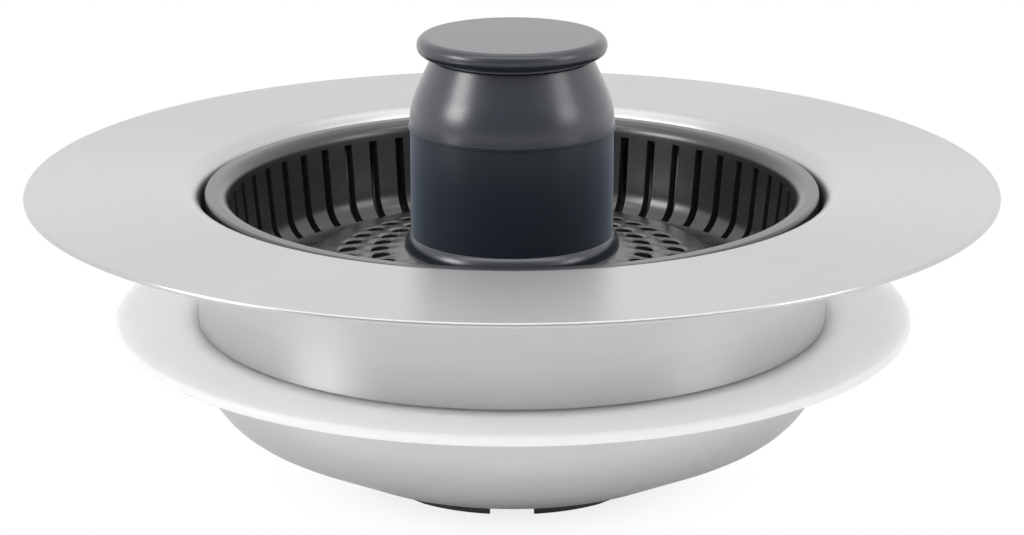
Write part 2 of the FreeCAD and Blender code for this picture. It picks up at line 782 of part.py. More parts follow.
def make_strainer_basket():
    """Moulded basket: rolled rim, slotted wall, gutter, raised coned floor and chimney over the plunger."""
    body = new_body("strainer_basket")
    rim_top = -D["basket_drop"]
    rim_under = rim_top - D["rim_height"]
    wall_at_rim = wall_radius - (wall_top - rim_under) * tangent(D["wall_draft"])
    wall_outside = wall_at_rim + D["basket_thickness"] / draft_rise
    outer_corner = D["basket_corner"] + D["basket_thickness"]
    mean_slope = (D["floor_outer_slope"] + D["floor_inner_slope"]) / 2
    crease_depth = D["basket_thickness"] / cosine((D["floor_outer_slope"] - D["floor_inner_slope"]) / 2)
    crease_under_radius = crease_radius - crease_depth * sine(mean_slope)
    crease_under = crease - crease_depth * cosine(mean_slope)
    chimney_foot = crease_under + (crease_under_radius - chimney_bore) * tangent(D["floor_inner_slope"])
    pilot = D["knob_screw_radius"] + D["knob_fit"]
    pilot_floor = D["plunger_top"] + D["boss_pilot_floor"]
    turn(body, [
        (wall_outside, rim_under),
        (basket_radius, rim_under),
        (basket_radius, rim_top - D["rim_edge_round"], D["rim_edge_round"], True),
        (basket_radius - D["rim_edge_round"], rim_top),
        (wall_radius + D["rim_round"], rim_top, D["rim_round"], True),
        (wall_radius, wall_top),
        (corner_radius + D["basket_corner"] * draft_rise, corner_height - D["basket_corner"] * draft_lean,
         D["basket_corner"], False),
        (floor_radius, floor_height),
        (crease_radius, crease),
        (collar_foot_radius, collar_foot, D["collar_flare"], False),
        (collar_radius, collar_top),
        (chimney_radius, collar_top),
        (chimney_radius, chimney_top),
        (chimney_bore, chimney_top),
        (chimney_bore, chimney_web_top),
        (D["boss_radius"], chimney_web_top),
        (D["boss_radius"], boss_top),
        (pilot, boss_top),
        (pilot, pilot_floor),
        (ZERO, pilot_floor),
        (ZERO, D["plunger_top"]),
        (chimney_bore, D["plunger_top"]),
        (chimney_bore, chimney_foot),
        (crease_under_radius, crease_under),
        (corner_radius - outer_corner * outer_floor_lean, corner_height - outer_corner * outer_floor_rise,
         outer_corner, True),
        (corner_radius + outer_corner * draft_rise, corner_height - outer_corner * draft_lean),
    ])
    slot = new_sketch(body, "slot", "XZ_Plane")
    slot_end = wall_radius - D["slot_reach"]
    below = corner_height - outer_corner * 2
    draw_outline(slot, [
        (slot_end, below),
        (basket_radius * 2, below),
        (basket_radius * 2, rim_under - D["slot_land"]),
        (slot_end, rim_under - D["slot_land"]),
    ])
    repeat_round(body, extrude(body, "Pocket", slot, D["slot_width"], both_ways=True), D["slot_count"])
    inner_ring = collar_foot_radius + D["inner_hole_inset"]
    half_pitch = size(180) / D["outer_hole_count"]
    rings = (("inner_hole", inner_ring, D["inner_hole_count"], ZERO),
             ("outer_hole", inner_ring + D["hole_ring_step"], D["outer_hole_count"], half_pitch))
    for name, ring, count, start in rings:
        hole = new_sketch(body, name, "XY_Plane", below)
        draw_circle(hole, ring * cosine(start), ring * sine(start), D["hole_radius"])
        repeat_round(body, extrude(body, "Pocket", hole, -below, backwards=True), count)
    return body


def make_grip_sleeve():
    """Straight sleeve on the chimney, from the collar to the seam, with a thin lip round the seam."""
    lip = sleeve_radius + D["seam_lip"]
    return turned("grip_sleeve", [
        (sleeve_bore, collar_top),
        (sleeve_radius, collar_top),
        (sleeve_radius, seam - D["seam_lip_height"]),
        (lip, seam - D["seam_lip_height"]),
        (lip, seam),
        (sleeve_bore, seam),
    ])


def make_knob_body():
    """Domed shoulder over the chimney's rim, with an inner floor on the basket's screw boss."""
    rim_bore = chimney_radius + D["knob_fit"]
    hole = D["knob_screw_radius"] + D["screw_clearance"]
    return turned("knob_body", [
        (rim_bore, seam),
        (dome_radius, seam, D["dome_round"], True),
        (dome_turn_radius, dome_turn_height),
        (knob_neck_radius, knob_neck_top),
        (knob_neck_bore, knob_neck_top),
        (knob_neck_bore, knob_floor_top),
        (hole, knob_floor_top),
        (hole, boss_top),
        (knob_neck_bore, boss_top),
        (rim_bore, chimney_top + D["end_clearance"]),
    ])


def make_knob_cap():
    """Round top disc of one thickness with a full edge, and a spigot in the neck."""
    spigot = knob_neck_bore - D["knob_fit"]
    spigot_bore = spigot - D["knob_spigot_wall"]
    spigot_end = knob_floor_top + D["knob_spigot_gap"]
    step = knob_neck_radius - D["knob_step"]
    under = knob_neck_top + D["knob_stand"]
    edge = under + D["knob_under_round"]
    top = edge + D["knob_edge_round"]
    return turned("knob_cap", [
        (ZERO, top - D["knob_cap_thickness"]),
        (spigot_bore, top - D["knob_cap_thickness"]),
        (spigot_bore, spigot_end),
        (spigot, spigot_end),
        (spigot, knob_neck_top),
        (step, knob_neck_top),
        (step, under - D["knob_step"]),
        (D["knob_radius"] - D["knob_under_round"], under, D["knob_under_round"], True),
        (D["knob_radius"], edge, D["knob_edge_round"], True),
        (D["knob_radius"] - D["knob_edge_round"], top),
        (ZERO, top),
    ])


def make_knob_screw():
    """Screw from the neck through the knob's floor into the basket's boss."""
    head_face = knob_floor_top + D["knob_screw_head_height"]
    body = turned("knob_screw", [
        (ZERO, knob_floor_top - D["knob_screw_length"]),
        (D["knob_screw_radius"], knob_floor_top - D["knob_screw_length"]),
        (D["knob_screw_radius"], knob_floor_top),
        (D["knob_screw_head_radius"], knob_floor_top),
        (D["knob_screw_head_radius"], head_face),
        (ZERO, head_face),
    ])
    cut_drive_slot(body, D["knob_screw_head_radius"], head_face, up=True)
    return body


def check(pieces):
    """Stop if any feature failed, or a piece is empty, broken or not one solid."""
    doc.recompute()
    for item in doc.Objects:
        if {"Invalid", "Error"} & set(item.State):
            raise RuntimeError(f"{item.Name} failed: {item.State}")
    for piece in pieces:
        shape = piece.Shape
        if shape.isNull() or not shape.isValid() or len(shape.Solids) != 1:
            raise RuntimeError(f"{piece.Label} is not one valid solid")


def main():
    pieces = [
        make_flange_cup(),
        make_silicone_skirt(),
        make_outlet_seat(),
        make_seat_gasket(),
        make_core_post(),
        make_post_washer(),
        make_post_screw(),
        make_plunger_tube(),
        make_stopper_seal(),
        make_cam_sleeve(),
        make_latch_rotor(),
        make_spring_seat(),
        make_retaining_clip(),
        make_return_spring(),
        make_plunger_cap(),
        make_strainer_basket(),
        make_grip_sleeve(),
        make_knob_body(),
        make_knob_cap(),
        make_knob_screw(),
    ]
    check(pieces)
    os.makedirs("parts", exist_ok=True)
    for piece in pieces:
        piece.Shape.exportStep(f"parts/{piece.Label}.step")
        print(piece.Label, round(piece.Shape.Volume, 2), piece.Shape.BoundBox)


main()
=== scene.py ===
"""Looks of a kitchen sink strainer: brushed steel flange and cup, milky silicone skirt, dark slotted basket
with a round handle, and the press latch inside it. Pieces are measured in millimetres and the stage in
metres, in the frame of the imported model."""

import json
import math

import bpy
import numpy as np
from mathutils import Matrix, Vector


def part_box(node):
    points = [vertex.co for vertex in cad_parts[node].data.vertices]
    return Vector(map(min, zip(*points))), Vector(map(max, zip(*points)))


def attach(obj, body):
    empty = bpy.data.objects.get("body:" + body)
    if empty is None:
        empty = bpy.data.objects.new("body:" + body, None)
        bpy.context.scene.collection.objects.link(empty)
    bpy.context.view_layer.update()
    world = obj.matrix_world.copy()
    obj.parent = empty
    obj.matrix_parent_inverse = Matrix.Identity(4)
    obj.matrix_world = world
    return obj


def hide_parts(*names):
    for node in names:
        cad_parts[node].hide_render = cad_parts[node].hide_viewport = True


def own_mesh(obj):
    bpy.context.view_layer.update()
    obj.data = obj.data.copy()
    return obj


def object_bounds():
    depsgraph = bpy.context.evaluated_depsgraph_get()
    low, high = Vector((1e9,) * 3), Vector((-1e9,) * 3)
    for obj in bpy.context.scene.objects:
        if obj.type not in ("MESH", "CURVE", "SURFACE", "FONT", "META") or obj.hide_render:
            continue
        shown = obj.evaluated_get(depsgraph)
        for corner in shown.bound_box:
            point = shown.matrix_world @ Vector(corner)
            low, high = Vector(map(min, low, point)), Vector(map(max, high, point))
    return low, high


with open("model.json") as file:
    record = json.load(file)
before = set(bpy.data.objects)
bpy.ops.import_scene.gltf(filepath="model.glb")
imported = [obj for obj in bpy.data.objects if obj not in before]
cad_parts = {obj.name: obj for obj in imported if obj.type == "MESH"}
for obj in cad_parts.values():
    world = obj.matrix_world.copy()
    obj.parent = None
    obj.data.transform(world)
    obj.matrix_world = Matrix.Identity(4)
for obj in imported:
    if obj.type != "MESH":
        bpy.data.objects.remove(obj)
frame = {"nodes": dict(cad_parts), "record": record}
cad_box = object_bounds()

MM = 0.001
ROUND_STEPS = 192
FINE_STEPS = 256
FILLET_STEP = math.radians(9)
SHARP_ANGLE = math.radians(40)
TURN = 2 * math.pi

# Rounds of moulded and turned edges, in millimetres

CRISP = 0.05
FINE = 0.1
SMALL = 0.2
SOFT = 0.3


# Shapes


def unit(vector):
    return vector / np.linalg.norm(vector)


def outline(*corners, closed=True):
    """Points and outward normals of an outline of (radius, height, fillet) corners in millimetres, with the
    solid to the left of the way along it. At a corner of inner angle 2h, the fillet f starts f / tan h from
    the corner, and its points are the circular blend of its first and last spokes."""
    corners = np.array(corners, float) * MM
    places, fillets = corners[:, :2], corners[:, 2]
    back = np.roll(places, 1, 0) - places
    ahead = np.roll(places, -1, 0) - places
    points, normals = [], []
    last = len(places) - 1
    for index, place in enumerate(places):
        if not closed and index in (0, last):
            way = unit(ahead[index] if index == 0 else -back[index])
            points.append(place[None])
            normals.append(np.array([[way[1], -way[0]]]))
            continue
        before, after, fillet = unit(back[index]), unit(ahead[index]), fillets[index]
        half = math.acos(np.clip(before @ after, -1, 1)) / 2
        centre = place + unit(before + after) * fillet / math.sin(half)
        first = place + before * fillet / math.tan(half) - centre
        final = place + after * fillet / math.tan(half) - centre
        sweep = math.pi - 2 * half
        share = np.linspace(0, 1, max(2, math.ceil(sweep / FILLET_STEP)) + 1)[:, None]
        spokes = (first * np.sin((1 - share) * sweep) + final * np.sin(share * sweep)) / math.sin(sweep)
        bulges = after[1] * -before[0] - after[0] * -before[1] > 0
        points.append(centre + spokes)
        normals.append(spokes / fillet * (1 if bulges else -1))
    return np.concatenate(points), np.concatenate(normals)


def cells(numbers):
    """Corner numbers of the cells between rows of numbered points, each row a closed ring, faced to the
    right of the way along the rows."""
    here, ahead = numbers[:-1], numbers[1:]
    return np.stack([here, np.roll(here, -1, 1), np.roll(ahead, -1, 1), ahead], -1)


def add_piece(name, points, faces, *materials):
    """A mesh object at the origin, smooth shaded."""
    mesh = bpy.data.meshes.new(name)
    mesh.from_pydata(points.reshape(-1, 3), [], faces)
    mesh.shade_smooth()
    for material in materials:
        mesh.materials.append(material)
    piece = bpy.data.objects.new(name, mesh)
    bpy.context.scene.collection.objects.link(piece)
    return piece


def turned(name, material, *corners, closed=True, steps=ROUND_STEPS):
    """Surface of revolution: the outline's point (r, z) at angle a is (r cos a, r sin a, z). An open
    outline's two end rings are closed by flat discs. The map's u is the angle in turns and v the length along
    the outline."""
    profile, slopes = outline(*corners, closed=closed)
    angle = np.arange(steps) * TURN / steps
    ring = np.stack([np.cos(angle), np.sin(angle)], -1)

    def spin(pairs):
        across = pairs[:, None, :1] * ring[None]
        return np.concatenate([across, np.repeat(pairs[:, None, 1:], steps, 1)], -1)

    numbers = np.arange(len(profile) * steps).reshape(-1, steps)
    quads = cells(np.concatenate([numbers, numbers[:1]]) if closed else numbers)
    faces = quads.reshape(-1, 4).tolist()
    if not closed:
        faces += [numbers[0, ::-1].tolist(), numbers[-1].tolist()]
    piece = add_piece(name, spin(profile), faces, material)
    piece.data.normals_split_custom_set_from_vertices(spin(slopes).reshape(-1, 3).tolist())
    length = np.linalg.norm(np.roll(profile, -1, 0) - profile, axis=1)
    along = np.concatenate([[0], np.cumsum(length)])
    column = np.arange(steps)
    row = np.arange(len(quads))
    u = np.stack([column, column + 1, column + 1, column], -1) / steps
    v = np.stack([along[row], along[row], along[row + 1], along[row + 1]], -1)
    grid = np.stack(np.broadcast_arrays(u[None], v[:, None]), -1).reshape(-1, 2)
    layer = piece.data.uv_layers.new(name="around")
    flat = np.zeros(len(piece.data.loops) * 2)
    flat[:grid.size] = grid.ravel()
    layer.data.foreach_set("uv", flat)
    return piece


class PiercedWall:
    """A wall with openings, open at one end. Its rows run along the first face, round the wall's other end
    by the bridge and back along the second face. Cells that aren't solid are left out of both faces, and
    their edges are walled across from face to face."""

    def __init__(self, first, bridge, second, solid, start=0):
        rows = np.concatenate([first, bridge, second[::-1]])
        depth, steps = first.shape[:2]
        numbers = start + np.arange(len(rows) * steps).reshape(-1, steps)
        near, far = numbers[:depth], numbers[::-1][:depth]
        kept = np.ones((len(rows) - 1, steps), bool)
        kept[:depth - 1] = solid
        kept[1 - depth:] = solid[::-1]
        left = np.roll(solid, 1, 1)
        along = np.stack([near[:-1], near[1:], far[1:], far[:-1]], -1)
        across = np.stack([near, np.roll(near, -1, 1), np.roll(far, -1, 1), far], -1)
        end = np.ones((1, steps), bool)
        before, after = np.concatenate([end, solid]), np.concatenate([solid, end])
        self.points = rows.reshape(-1, 3)
        self.faces = cells(numbers)[kept].tolist()
        self.sides = np.concatenate([
            along[~left & solid], along[left & ~solid][:, ::-1],
            across[before & ~after], across[~before & after][:, ::-1]]).tolist()
        self.first_end, self.second_end = near[0], far[0]
        self.first_angles, self.second_angles = (
            np.unwrap(np.arctan2(face[0, :, 1], face[0, :, 0])) for face in (first, second))


def stitch(ring, angles, following, following_angles):
    """Triangles between two rings of different counts. An edge's third corner is the other ring's point that
    as many of that ring's edge middles come before."""

    def middles(turns):
        return (turns + np.append(turns[1:], turns[0] + TURN)) / 2

    near, far = middles(angles), middles(following_angles)
    there = following[np.searchsorted(far, near, "right") % len(following)]
    here = ring[np.searchsorted(near, far, "left") % len(ring)]
    return (np.stack([ring, np.roll(ring, -1), there], -1).tolist()
            + np.stack([np.roll(following, -1), following, here], -1).tolist())


def soften(piece, width, steps=2):
    """Round the piece's edges."""
    bevel = piece.modifiers.new("edges", "BEVEL")
    bevel.width = width * MM
    bevel.segments = steps
    bevel.limit_method = "ANGLE"
    bevel.angle_limit = SHARP_ANGLE
    bevel.harden_normals = True
    return piece


# Finishes


class Finish:
    """A material being made: its node tree and its shader."""

    def __init__(self, name, **sockets):
        self.material = bpy.data.materials.new(name)
        self.material.use_nodes = True
        self.tree = self.material.node_tree
        self.shader = self.tree.nodes["Principled BSDF"]
        self.set(self.shader, {key.replace("_", " "): value for key, value in sockets.items()})

    def set(self, node, inputs):
        for socket, value in inputs.items():
            if isinstance(value, bpy.types.NodeSocket):
                self.tree.links.new(value, node.inputs[socket])
            else:
                node.inputs[socket].default_value = value

    def add(self, kind, inputs=(), **settings):
        node = self.tree.nodes.new(kind)
        for key, value in settings.items():
            setattr(node, key, value)
        self.set(node, dict(inputs))
        return node

    def shade(self, socket, output):
        self.tree.links.new(output, self.shader.inputs[socket])

    def place(self):
        return self.add("ShaderNodeTexCoord").outputs["Object"]

    def noise(self, place, scale, detail=2.0, roughness=0.5):
        inputs = {"Vector": place, "Scale": scale, "Detail": detail, "Roughness": roughness}
        return self.add("ShaderNodeTexNoise", inputs).outputs[0]

    def spread(self, source, low, high, start=0.3, end=0.7):
        """A grey pattern's values from start to end, stretched from low to high."""
        inputs = {"Value": source, "From Min": start, "From Max": end, "To Min": low, "To Max": high}
        return self.add("ShaderNodeMapRange", inputs).outputs[0]

    def tint(self, source, dark, light):
        """Colour between dark and light by a grey pattern."""
        node = self.add("ShaderNodeMix", data_type="RGBA")
        self.set(node, {0: source, 6: (*dark, 1), 7: (*light, 1)})
        return node.outputs[2]

    def bump(self, source, strength, height):
        inputs = {"Height": source, "Strength": strength, "Distance": height}
        self.shade("Normal", self.add("ShaderNodeBump", inputs).outputs[0])

    def round_marks(self, along, across):
        """Coordinates for marks that run round the Z axis: the direction from the axis, times along, and the
        radius plus the height, times across."""
        place = self.place()
        flat = self.add("ShaderNodeVectorMath", {0: place, 1: (1, 1, 0)}, operation="MULTIPLY").outputs[0]
        way = self.add("ShaderNodeVectorMath", {0: flat}, operation="NORMALIZE").outputs[0]
        radius = self.add("ShaderNodeVectorMath", {0: flat}, operation="LENGTH").outputs["Value"]
        height = self.add("ShaderNodeSeparateXYZ", {0: place}).outputs["Z"]
        path = self.add("ShaderNodeMath", {0: radius, 1: height}, operation="ADD").outputs[0]
        fine = self.add("ShaderNodeMath", {0: path, 1: across}, operation="MULTIPLY").outputs[0]
        lift = self.add("ShaderNodeCombineXYZ", {"Z": fine}).outputs[0]
        wide = self.add("ShaderNodeVectorMath", {0: way, "Scale": along}, operation="SCALE").outputs[0]
        return self.add("ShaderNodeVectorMath", {0: wide, 1: lift}, operation="ADD").outputs[0]


def brushed_steel():
    """Sheet brushed round the axis: fine scratches that stretch its reflections across them."""
    finish = Finish("brushed_steel", Metallic=1.0, Anisotropic=0.82, Anisotropic_Rotation=0.25)
    fine = finish.noise(finish.round_marks(9.0, 9000.0), 1.0, 3.0, 0.6)
    broad = finish.noise(finish.round_marks(5.0, 900.0), 1.0, 2.0)
    both = finish.add("ShaderNodeMath", {0: fine, 1: broad}, operation="ADD").outputs[0]
    streaks = finish.spread(both, 0, 1, 0.7, 1.3)
    finish.shade("Base Color", finish.tint(streaks, (0.578, 0.578, 0.583), (0.598, 0.598, 0.603)))
    finish.shade("Roughness", finish.spread(fine, 0.275, 0.3))
    tangent = finish.add("ShaderNodeTangent", direction_type="UV_MAP", uv_map="around")
    finish.shade("Tangent", tangent.outputs[0])
    finish.bump(fine, 0.012, 0.00002)
    return finish.material


def milky_silicone():
    """Soft white silicone: light goes a little way in, and the moulded face is faintly uneven."""
    finish = Finish(
        "milky_silicone", Subsurface_Weight=1.0, Subsurface_Scale=0.015, Subsurface_Radius=(1.0, 1.0, 1.0))
    place = finish.place()
    cloud = finish.noise(place, 60.0, 3.0)
    grain = finish.noise(place, 2500.0, 2.0)
    finish.shade("Base Color", finish.tint(cloud, (0.92, 0.925, 0.93), (0.945, 0.948, 0.95)))
    finish.shade("Roughness", finish.spread(grain, 0.38, 0.52))
    finish.bump(grain, 0.06, 0.00003)
    return finish.material


def moulded_plastic(name, dark, light, smooth, rough, coat=0.0, shine=0.5, bloom=0.0, grain=0.05):
    """Moulded plastic: a faint cloud in its colour, a fine satin grain and, with bloom, a soft bluish edge
    light."""
    finish = Finish(
        name, Coat_Weight=coat, Coat_Roughness=0.25, Specular_IOR_Level=shine, Sheen_Weight=bloom,
        Sheen_Roughness=0.45, Sheen_Tint=(0.7, 0.85, 1.0, 1.0))
    place = finish.place()
    cloud = finish.noise(place, 90.0, 3.0)
    fine = finish.noise(place, 7000.0, 2.0)
    finish.shade("Base Color", finish.tint(cloud, dark, light))
    finish.shade("Roughness", finish.spread(fine, smooth, rough))
    finish.bump(fine, grain, 0.00003)
    return finish.material


def turned_metal(name, dark, light, smooth, rough):
    """Metal with the fine rings that a lathe leaves."""
    finish = Finish(name, Metallic=1.0)
    rings = finish.noise(finish.round_marks(0.5, 7000.0), 1.0, 2.0)
    finish.shade("Base Color", finish.tint(rings, dark, light))
    finish.shade("Roughness", finish.spread(rings, smooth, rough))
    finish.bump(rings, 0.15, 0.00002)
    return finish.material


FINISHES = {
    "steel_sheet": brushed_steel(),
    "white_silicone": milky_silicone(),
    "black_plastic": moulded_plastic(
        "black_plastic", (0.018, 0.018, 0.02), (0.028, 0.028, 0.031), 0.35, 0.5),
    "black_rubber": moulded_plastic(
        "black_rubber", (0.014, 0.014, 0.014), (0.024, 0.024, 0.024), 0.55, 0.75),
    "turned_steel": turned_metal(
        "turned_steel", (0.5, 0.5, 0.505), (0.62, 0.62, 0.63), 0.22, 0.4),
    "spring_steel": turned_metal(
        "spring_steel", (0.42, 0.42, 0.43), (0.55, 0.55, 0.56), 0.2, 0.35),
    "natural_plastic": moulded_plastic(
        "natural_plastic", (0.7, 0.7, 0.66), (0.8, 0.8, 0.76), 0.35, 0.5),
    "basket_plastic": moulded_plastic(
        "basket_plastic", (0.019, 0.02, 0.022), (0.025, 0.026, 0.029), 0.27, 0.31,
        coat=0.4, shine=0.7, grain=0.012),
    "sleeve_plastic": moulded_plastic(
        "sleeve_plastic", (0.005, 0.0078, 0.0145), (0.007, 0.0105, 0.0185), 0.36, 0.42,
        bloom=0.4, grain=0.01),
    "knob_plastic": moulded_plastic(
        "knob_plastic", (0.0085, 0.0125, 0.022), (0.011, 0.0155, 0.026), 0.27, 0.3,
        coat=0.45, shine=0.7, grain=0.008),
    "cap_plastic": moulded_plastic(
        "cap_plastic", (0.0095, 0.013, 0.02), (0.0125, 0.0165, 0.024), 0.34, 0.38,
        coat=0.7, grain=0.01),
}


def dress(piece, body, slot, *nodes):
    """Ride on a body and stand for CAD nodes. The slot is not used."""
    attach(piece, body)
    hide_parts(*nodes)
    return piece


# Steel flange and cup

FLANGE_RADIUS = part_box("flange_cup")[1].x / MM
FLANGE_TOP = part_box("flange_cup")[1].z / MM
BOWL_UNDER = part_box("flange_cup")[0].z / MM
STEEL = FLANGE_TOP
EDGE = 0.28
ROLL = 2.4
CUP_RADIUS = 36.0
CUP_OUTSIDE = CUP_RADIUS + STEEL
BOWL_CORNER = 8.7
BOWL_SLOPE = math.radians(26.4)
FLOOR_RADIUS = 22.0
FLOOR_ROUND = 2.0
OUTLET_RADIUS = 17.0


def cone_height(radius):
    """Height of the bowl's sloped underside at a radius."""
    return BOWL_UNDER + (radius - FLOOR_RADIUS) * math.tan(BOWL_SLOPE)


def make_flange_cup():
    """Sheet of one thickness: flange, roll, straight wall, round corner, slope, flat floor and outlet."""
    bowl_floor = BOWL_UNDER + STEEL
    inner_floor = FLOOR_RADIUS - STEEL * math.tan(BOWL_SLOPE / 2)
    inner_corner = cone_height(CUP_RADIUS) + STEEL / math.cos(BOWL_SLOPE)
    piece = turned(
        "steel_cup", FINISHES["steel_sheet"],
        (FLANGE_RADIUS, 0, EDGE),
        (FLANGE_RADIUS, FLANGE_TOP, EDGE),
        (CUP_RADIUS, FLANGE_TOP, ROLL),
        (CUP_RADIUS, inner_corner, BOWL_CORNER - STEEL),
        (inner_floor, bowl_floor, FLOOR_ROUND - STEEL),
        (OUTLET_RADIUS, bowl_floor, EDGE),
        (OUTLET_RADIUS, BOWL_UNDER, EDGE),
        (FLOOR_RADIUS, BOWL_UNDER, FLOOR_ROUND),
        (CUP_OUTSIDE, cone_height(CUP_OUTSIDE), BOWL_CORNER),
        (CUP_OUTSIDE, 0, ROLL - STEEL),
        steps=FINE_STEPS,
    )
    return dress(piece, "drain_body", "steel_sheet", "flange_cup")


# Silicone skirt

SKIRT_WIDTH = 9.8
SKIRT_RADIUS = CUP_OUTSIDE + SKIRT_WIDTH
SKIRT_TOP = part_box("silicone_skirt")[1].z / MM
SKIRT_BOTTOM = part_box("silicone_skirt")[0].z / MM
SKIRT_THICKNESS = 1.2
SKIRT_DISH = 0.5
SKIRT_EDGE = 0.5
SKIRT_ROOT = 0.8
SKIRT_COLLAR_WIDTH = 1.4
SKIRT_COLLAR = CUP_OUTSIDE + SKIRT_COLLAR_WIDTH


def make_silicone_skirt():
    """Soft disc with a round edge, dished towards the cup, on a collar that grips the cup."""
    under = SKIRT_TOP - SKIRT_THICKNESS
    piece = turned(
        "soft_skirt", FINISHES["white_silicone"],
        (CUP_OUTSIDE, SKIRT_TOP - SKIRT_DISH, FINE),
        (CUP_OUTSIDE, SKIRT_BOTTOM, SMALL),
        (SKIRT_COLLAR, SKIRT_BOTTOM, SKIRT_EDGE),
        (SKIRT_COLLAR, under - SKIRT_DISH, SKIRT_ROOT),
        (SKIRT_RADIUS, under, SKIRT_EDGE),
        (SKIRT_RADIUS, SKIRT_TOP, SKIRT_EDGE),
        steps=FINE_STEPS,
    )
    return dress(piece, "drain_body", "white_silicone", "silicone_skirt")


# Handle

SLEEVE_RADIUS = 11.76
SLEEVE_BORE = 10.0
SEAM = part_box("grip_sleeve")[1].z / MM
SLEEVE_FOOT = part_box("grip_sleeve")[0].z / MM
SEAM_LIP = 0.19
SEAM_LIP_HEIGHT = 0.35
SEAM_LIP_ROUND = 0.08
DOME_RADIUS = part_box("knob_body")[1].x / MM
DOME_ROUND = 10.4
DOME_SLOPE = math.radians(25)
DOME_FOOT_ROUND = 0.02
NECK_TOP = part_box("knob_body")[1].z / MM
NECK_RADIUS = 9.3
NECK_BORE = 7.8
NECK_ROUND = 0.12
KNOB_RADIUS = 10.95
KNOB_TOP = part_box("knob_cap")[1].z / MM
KNOB_EDGE = 1.05
KNOB_UNDER_ROUND = 1.0
KNOB_STEP = 0.2
KNOB_STEP_ROUND = 0.15
KNOB_FLOOR = 12.4
KNOB_WALL = 1.4
KNOB_HOLE = 1.3
CAP_ROOF = 1.0
SPIGOT_GAP = 0.05
SPIGOT_WALL = 1.0
SPIGOT_LIFT = 0.5
POLE = 1.0


def make_grip_sleeve():
    """Straight sleeve with a thin proud lip at the seam."""
    lip = SLEEVE_RADIUS + SEAM_LIP
    piece = turned(
        "grip_tube", FINISHES["sleeve_plastic"],
        (SLEEVE_BORE, SLEEVE_FOOT, FINE),
        (SLEEVE_RADIUS, SLEEVE_FOOT, FINE),
        (SLEEVE_RADIUS, SEAM - SEAM_LIP_HEIGHT, SEAM_LIP_ROUND),
        (lip, SEAM - SEAM_LIP_HEIGHT, SEAM_LIP_ROUND),
        (lip, SEAM, CRISP),
        (SLEEVE_BORE, SEAM, FINE),
    )
    return dress(piece, "basket", "sleeve_plastic", "grip_sleeve")


def make_knob_body():
    """Domed shoulder: a round from the seam into a steep cone, with a floor for its screw."""
    shoulder = NECK_TOP - (DOME_RADIUS - NECK_RADIUS) / math.tan(DOME_SLOPE)
    piece = turned(
        "knob_dome", FINISHES["knob_plastic"],
        (SLEEVE_BORE, SEAM, FINE),
        (DOME_RADIUS, SEAM, DOME_FOOT_ROUND),
        (DOME_RADIUS, shoulder, DOME_ROUND),
        (NECK_RADIUS, NECK_TOP, NECK_ROUND),
        (NECK_BORE, NECK_TOP, NECK_ROUND),
        (NECK_BORE, KNOB_FLOOR, SOFT),
        (KNOB_HOLE, KNOB_FLOOR, FINE),
        (KNOB_HOLE, KNOB_FLOOR - KNOB_WALL, FINE),
        (NECK_BORE, KNOB_FLOOR - KNOB_WALL, SOFT),
        (SLEEVE_BORE, SEAM + KNOB_WALL, SMALL),
    )
    return dress(piece, "basket", "knob_plastic", "knob_body")


def make_knob_cap():
    """Round disc with a full edge, on a small step in the neck."""
    edge = KNOB_TOP - KNOB_EDGE
    under = edge - KNOB_UNDER_ROUND
    step = NECK_RADIUS - KNOB_STEP
    roof = NECK_TOP + CAP_ROOF
    spigot = NECK_BORE - SPIGOT_GAP
    spigot_foot = KNOB_FLOOR + SPIGOT_LIFT
    piece = turned(
        "knob_disc", FINISHES["cap_plastic"],
        (POLE, roof, FINE),
        (spigot - SPIGOT_WALL, roof, SMALL),
        (spigot - SPIGOT_WALL, spigot_foot, SMALL),
        (spigot, spigot_foot, SMALL),
        (spigot, NECK_TOP, CRISP),
        (step, NECK_TOP, CRISP),
        (step, under - KNOB_STEP, KNOB_STEP_ROUND),
        (KNOB_RADIUS, under, KNOB_UNDER_ROUND),
        (KNOB_RADIUS, KNOB_TOP, KNOB_EDGE),
        (POLE, KNOB_TOP, FINE),
        closed=False,
    )
    return dress(piece, "basket", "cap_plastic", "knob_cap")


# Basket

BASKET_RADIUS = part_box("strainer_basket")[1].x / MM
BASKET_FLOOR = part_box("strainer_basket")[0].z / MM
RIM_TOP = -0.2
RIM_HEIGHT = 1.8
RIM_UNDER = RIM_TOP - RIM_HEIGHT
RIM_WIDTH = 2.7
RIM_ROUND = 1.5
RIM_EDGE = 0.4
RIM_UNDER_EDGE = 0.15
RIM_STEP = 0.01
THICKNESS = 1.3
WALL_TOP = RIM_TOP - RIM_ROUND
WALL_RADIUS = BASKET_RADIUS - RIM_WIDTH
WALL_DRAFT = math.radians(5.8)
CORNER = 3.3
CORNER_HEIGHT = BASKET_FLOOR + THICKNESS + CORNER
SLOT_COUNT = 56
SLOT_WIDTH = 1.05
SLOT_LAND = 0.1
SLOT_TOP = RIM_UNDER - SLOT_LAND
SLOT_END = 30.5
SLOT_COLUMNS = 1
LAND_COLUMNS = 4
GUTTER_ROWS = 4
CORNER_ROWS = 9
WALL_ROWS = 3
WALL_GUTTER = math.radians(-88)
FLOOR_GUTTER = math.radians(-92)
OUTER_SLOPE = math.radians(32.8)
INNER_SLOPE = math.radians(7.6)
CREASE_INSET = 9.5
CREASE = WALL_RADIUS - CREASE_INSET
CREASE_WIDTH = 0.25
COLLAR_FOOT = 12.5
COLLAR_TOP = 11.8
COLLAR_MARGIN = 0.2
FLARE = 2.0
FLARE_ROWS = 8
CHIMNEY_RADIUS = 9.9
CHIMNEY_BORE = 8.4
CHIMNEY_TOP = 8.2
WEB_UNDER = 5.0
WEB_TOP = 6.5
BOSS_RADIUS = 3.4
BOSS_TOP = 11.0
PILOT = 1.2
